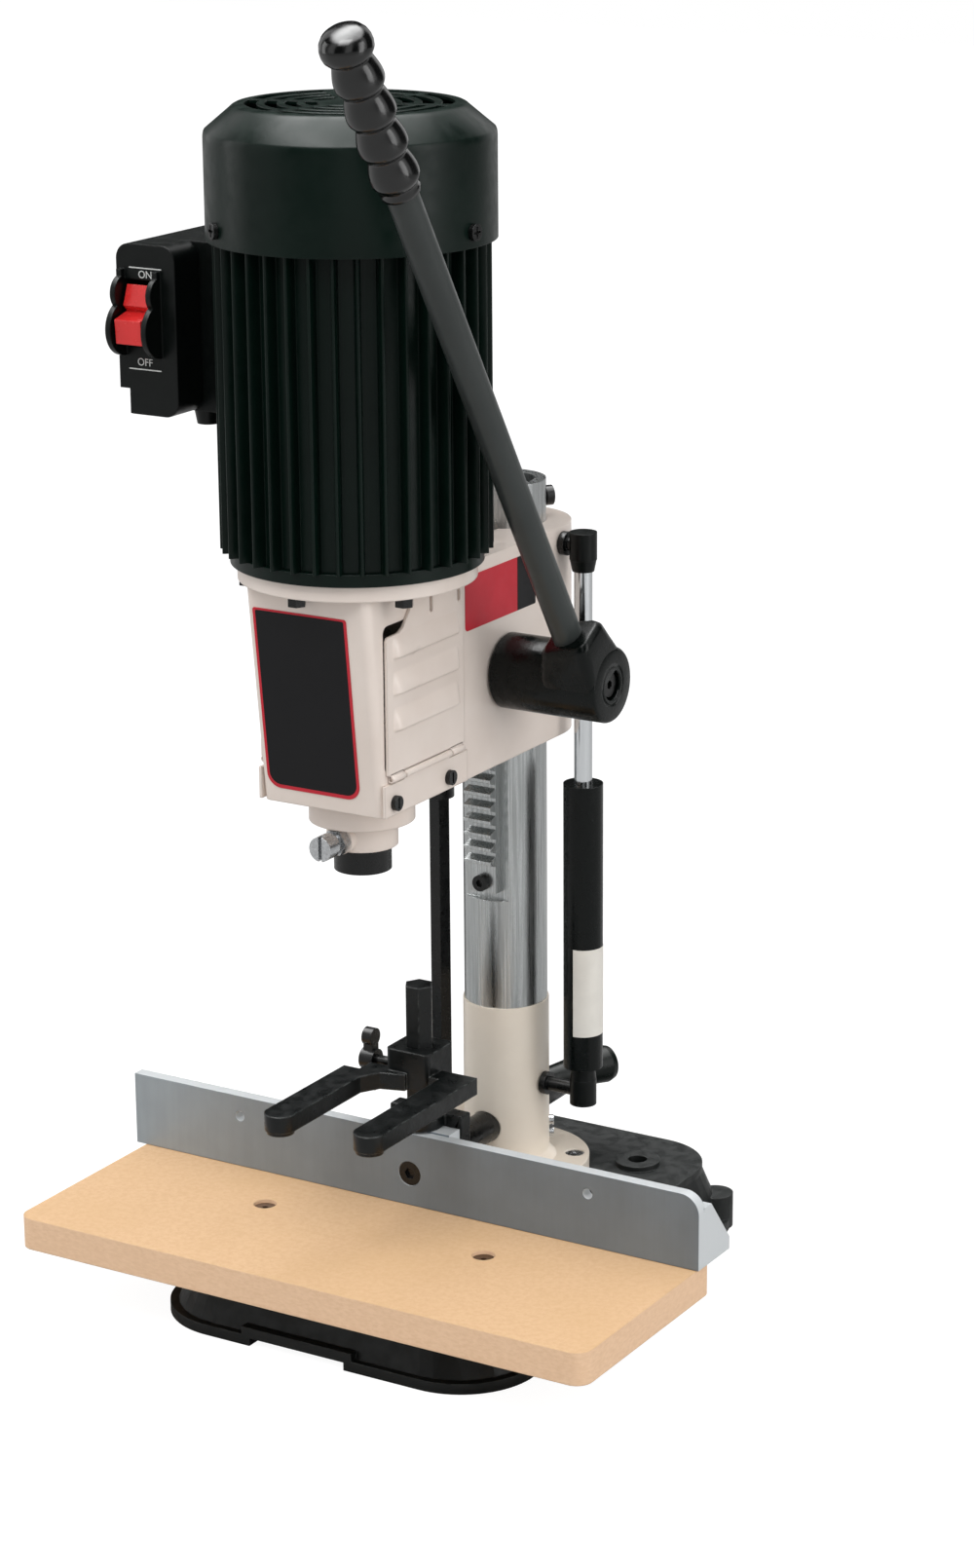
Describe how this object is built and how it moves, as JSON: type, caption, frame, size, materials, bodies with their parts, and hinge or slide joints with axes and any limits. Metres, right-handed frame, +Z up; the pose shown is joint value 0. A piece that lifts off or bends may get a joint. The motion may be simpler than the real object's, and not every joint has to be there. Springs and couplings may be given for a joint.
{
  "type": "benchtop mortiser",
  "caption": "Benchtop hollow-chisel mortiser: finned motor on a rack-fed head, round column with gas spring, fence with hold-down fork and a fibreboard table.",
  "frame": {"origin": "where the column's axis meets the bench, on the underside of the base", "axes": "+Z up along the column, -Y to the front where the operator stands, +X to the operator's right, the lever's side"},
  "size_m": [0.363, 0.3842, 0.7105],
  "materials": {
    "cream_paint": "satin",
    "black_casting": "satin",
    "motor_black": "satin",
    "black_oxide": "satin",
    "lever_grey": "satin",
    "ground_steel": "ground",
    "fence_steel": "ground",
    "zinc_steel": "plated",
    "chrome": "polished",
    "bronze": "machined",
    "winding_iron": "varnished",
    "fibreboard": "raw",
    "black_plastic": "satin",
    "grey_plastic": "satin",
    "grip_plastic": "gloss",
    "red_plastic": "gloss"
  },
  "bodies": {
    "stand": {"base_casting": "black_casting", "table_board": "fibreboard", "table_screws": "zinc_steel", "column_support": "cream_paint", "flange_bolts": "zinc_steel", "support_screws": "zinc_steel", "column_tube": "ground_steel", "top_stop_screw": "black_oxide", "rack": "ground_steel", "rack_screws": "black_oxide", "stop_rod": "black_oxide", "gas_lower_stud": "black_oxide", "gas_lower_socket": "black_plastic", "gas_tube": "motor_black"},
    "fence": {"fence_casting": "fence_steel", "fence_rod": "black_oxide", "fence_screws": "black_oxide", "holddown_bracket": "black_casting", "holddown_post": "black_oxide"},
    "fork": {"holddown_fork": "black_casting"},
    "fork_knob": {"fork_knob": "black_oxide"},
    "fence_lock": {"fence_lock_stud": "zinc_steel", "fence_lock_grip": "grey_plastic"},
    "stop_collar": {"stop_collar": "black_oxide"},
    "collar_screw": {"collar_screw": "zinc_steel"},
    "head": {"head_casting": "cream_paint", "motor_end_bell": "motor_black", "motor_housing": "motor_black", "motor_stator": "winding_iron", "fan_cover": "motor_black", "fan_cover_screws": "black_oxide", "motor_bearings": "zinc_steel", "motor_bolts": "black_oxide", "switch_box": "black_plastic", "switch_lid": "black_plastic", "cord_gland": "black_plastic", "chisel_bushing": "black_oxide", "chisel_lock_nut": "zinc_steel", "gas_upper_stud": "black_oxide", "gas_upper_socket": "black_plastic", "gas_rod": "chrome", "gib_screws": "black_oxide", "pinion_bushings": "bronze", "door_strips": "cream_paint", "door_screws": "black_oxide"},
    "spindle": {"motor_shaft": "ground_steel", "motor_rotor": "winding_iron", "cooling_fan": "black_plastic", "chuck_body": "zinc_steel", "chuck_sleeve": "zinc_steel", "chuck_jaws": "zinc_steel"},
    "lever": {"pinion_shaft": "ground_steel", "lever_hub": "black_casting", "lever_rod": "lever_grey", "lever_grip": "grip_plastic", "hub_screw": "black_oxide"},
    "right_door": {"right_door": "cream_paint"},
    "left_door": {"left_door": "cream_paint"},
    "rocker": {"rocker_switch": "red_plastic"},
    "chisel_screw": {"chisel_lock_screw": "zinc_steel"}
  },
  "joints": [
    {"name": "head_slide", "type": "slide", "parent": "stand", "child": "head", "axis": [0, 0, 1], "range_m": [-0.112, 0], "stiffness_N_per_m": 700, "springref_m": 0.4},
    {"name": "lever_turn", "type": "hinge", "parent": "head", "child": "lever", "pos_m": [0.085, -0.06, 0.3515], "axis": [1, 0, 0], "range_deg": [0, 100]},
    {"name": "fence_slide", "type": "slide", "parent": "stand", "child": "fence", "axis": [0, 1, 0], "range_m": [-0.01, 0.035]},
    {"name": "fence_lock_turn", "type": "hinge", "parent": "stand", "child": "fence_lock", "pos_m": [0, 0, 0.085], "axis": [0.3746, 0.9272, 0], "range_deg": [-180, 0]},
    {"name": "holddown_slide", "type": "slide", "parent": "fence", "child": "fork", "axis": [0, 0, 1], "range_m": [-0.012, 0.025]},
    {"name": "fork_knob_turn", "type": "hinge", "parent": "fork", "child": "fork_knob", "pos_m": [-0.027, -0.092, 0.129], "axis": [1, 0, 0], "range_deg": [-180, 180]},
    {"name": "stop_collar_slide", "type": "slide", "parent": "stand", "child": "stop_collar", "axis": [0, 0, 1], "range_m": [-0.16, 0]},
    {"name": "collar_screw_turn", "type": "hinge", "parent": "stop_collar", "child": "collar_screw", "pos_m": [-0.06, 0.005, 0.26], "axis": [1, 0, 0], "range_deg": [-180, 180]},
    {"name": "spindle_spin", "type": "hinge", "parent": "head", "child": "spindle", "pos_m": [0, -0.145, 0.45], "axis": [0, 0, 1], "continuous": true},
    {"name": "right_door_hinge", "type": "hinge", "parent": "head", "child": "right_door", "pos_m": [0.0389, -0.14, 0.321], "axis": [0, 1, 0], "range_deg": [0, 155]},
    {"name": "left_door_hinge", "type": "hinge", "parent": "head", "child": "left_door", "pos_m": [-0.0389, -0.14, 0.321], "axis": [0, 1, 0], "range_deg": [-155, 0]},
    {"name": "rocker_press", "type": "hinge", "parent": "head", "child": "rocker", "pos_m": [-0.1005, -0.182, 0.549], "axis": [1, 0, 0], "range_deg": [0, 12]},
    {"name": "chisel_lock_turn", "type": "hinge", "parent": "head", "child": "chisel_screw", "pos_m": [0, -0.175, 0.28], "axis": [0, 1, 0], "range_deg": [-180, 180]}
  ],
  "couplings": [
    {"joint": "head_slide", "follows": "lever_turn", "m_per_rad": -0.0325}
  ]
}
